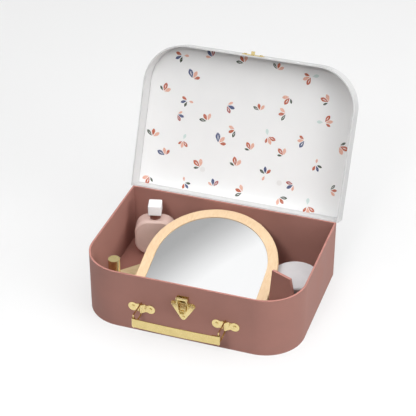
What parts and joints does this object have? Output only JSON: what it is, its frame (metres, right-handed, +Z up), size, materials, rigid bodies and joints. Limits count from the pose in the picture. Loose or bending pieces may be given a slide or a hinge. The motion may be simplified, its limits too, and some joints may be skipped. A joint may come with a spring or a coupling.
{
  "type": "toy beauty case",
  "caption": "Toy vanity suitcase of paperboard, standing open, with hinged lid, flip-up latch, wire-ring handle, arched mirror and wooden make-up toys.",
  "frame": {"origin": "middle of the case's underside, on the surface it stands on", "axes": "+X to the case's right, -Y towards its latch and handle, +Z up"},
  "size_m": [0.2542, 0.2885, 0.2373],
  "materials": {
    "case_board": "matt terracotta paperboard with paler cut edges",
    "case_paper": "matt terracotta paper",
    "lid_board": "matt white paperboard",
    "lining_print": "matt white paper with a small leaf print",
    "stud_enamel": "pale enamel",
    "brass": "polished pale brass",
    "brass_lacquer": "satin brass",
    "hinge_cloth": "plain woven cloth tape",
    "light_wood": "smooth pale wood with fine grain",
    "mirror_glass": "polished mirror",
    "perfume_paint": "satin dusty pink paint on wood",
    "dark_wood": "dark brown satin paint on wood",
    "white_paint": "satin white paint on wood",
    "lipstick_red": "satin red paint on wood",
    "jar_paint": "satin pale grey-green paint on wood"
  },
  "bodies": {
    "case_base": {"base_band": "case_board", "base_floor": "case_board", "floor_liner": "case_paper", "latch_shield": "brass", "latch_pin": "brass", "latch_rivets": "brass", "handle_bracket_left": "brass", "handle_bracket_right": "brass", "handle_rivets": "brass", "divider": "case_board", "hinge_leaf_base": "hinge_cloth"},
    "case_lid": {"lid_band": "lid_board", "lid_panel": "lid_board", "lid_lining": "lining_print", "lining_studs": "stud_enamel", "keeper": "brass", "keeper_rivets": "brass", "hinge_leaf_lid": "hinge_cloth"},
    "hasp": {"latch_hasp": "brass"},
    "ring_left": {"handle_ring_left": "brass"},
    "grip": {"handle_strap": "brass"},
    "ring_right": {"handle_ring_right": "brass"},
    "mirror": {"mirror_back": "light_wood", "mirror_frame": "light_wood", "mirror_glass": "mirror_glass"},
    "jar": {"jar_body": "jar_paint"},
    "jar_top": {"jar_lid": "white_paint"},
    "comb_body": {"comb": "light_wood"},
    "perfume": {"perfume_body": "perfume_paint", "perfume_neck": "dark_wood"},
    "perfume_top": {"perfume_cap": "white_paint"},
    "lipstick": {"lipstick_base": "brass_lacquer", "lipstick_bullet": "lipstick_red"},
    "lipstick_top": {"lipstick_cap": "brass_lacquer"}
  },
  "joints": [
    {"name": "lid_hinge", "type": "hinge", "parent": "case_base", "child": "case_lid", "pos_m": [0, 0.086, 0.073], "axis": [-1, 0, 0], "range_deg": [-113, 0]},
    {"name": "hasp_flip", "type": "hinge", "parent": "case_base", "child": "hasp", "pos_m": [0, -0.0905, 0.0582], "axis": [-1, 0, 0], "range_deg": [0, 180]},
    {"name": "handle_swing", "type": "hinge", "parent": "case_base", "child": "ring_left", "pos_m": [-0.0485, -0.0877, 0.032], "axis": [0, 0, 1], "range_deg": [-75, 75]},
    {"name": "grip_pivot", "type": "hinge", "parent": "ring_left", "child": "grip", "pos_m": [-0.0485, -0.1113, 0.032], "axis": [0, 0, 1], "range_deg": [-75, 75]},
    {"name": "ring_right_swing", "type": "hinge", "parent": "case_base", "child": "ring_right", "pos_m": [0.0485, -0.0877, 0.032], "axis": [0, 0, 1], "range_deg": [-75, 75]},
    {"name": "mirror_lift", "type": "slide", "parent": "case_base", "child": "mirror", "axis": [0, 0, 1], "range_m": [0, 0.15]},
    {"name": "jar_lift", "type": "slide", "parent": "case_base", "child": "jar", "axis": [0, 0, 1], "range_m": [0, 0.0675]},
    {"name": "jar_lid_lift", "type": "slide", "parent": "jar", "child": "jar_top", "axis": [0, 0, 1], "range_m": [0, 0.0225]},
    {"name": "comb_lift", "type": "slide", "parent": "case_base", "child": "comb_body", "axis": [0, 0, 1], "range_m": [0, 0.045]},
    {"name": "perfume_lift", "type": "slide", "parent": "case_base", "child": "perfume", "axis": [0, 0, 1], "range_m": [0, 0.12]},
    {"name": "perfume_cap_pull", "type": "slide", "parent": "perfume", "child": "perfume_top", "axis": [0, 0, 1], "range_m": [0, 0.025]},
    {"name": "lipstick_lift", "type": "slide", "parent": "case_base", "child": "lipstick", "axis": [0, 0, 1], "range_m": [0, 0.12]},
    {"name": "lipstick_cap_pull", "type": "slide", "parent": "lipstick", "child": "lipstick_top", "axis": [0, 0, 1], "range_m": [0, 0.045]}
  ],
  "couplings": [
    {"joint": "grip_pivot", "follows": "handle_swing", "ratio": -1},
    {"joint": "ring_right_swing", "follows": "handle_swing", "ratio": 1},
    {"joint": "jar_lift", "follows": "mirror_lift", "ratio": 0.45},
    {"joint": "jar_lid_lift", "follows": "mirror_lift", "ratio": 0.15},
    {"joint": "comb_lift", "follows": "mirror_lift", "ratio": 0.3}
  ]
}
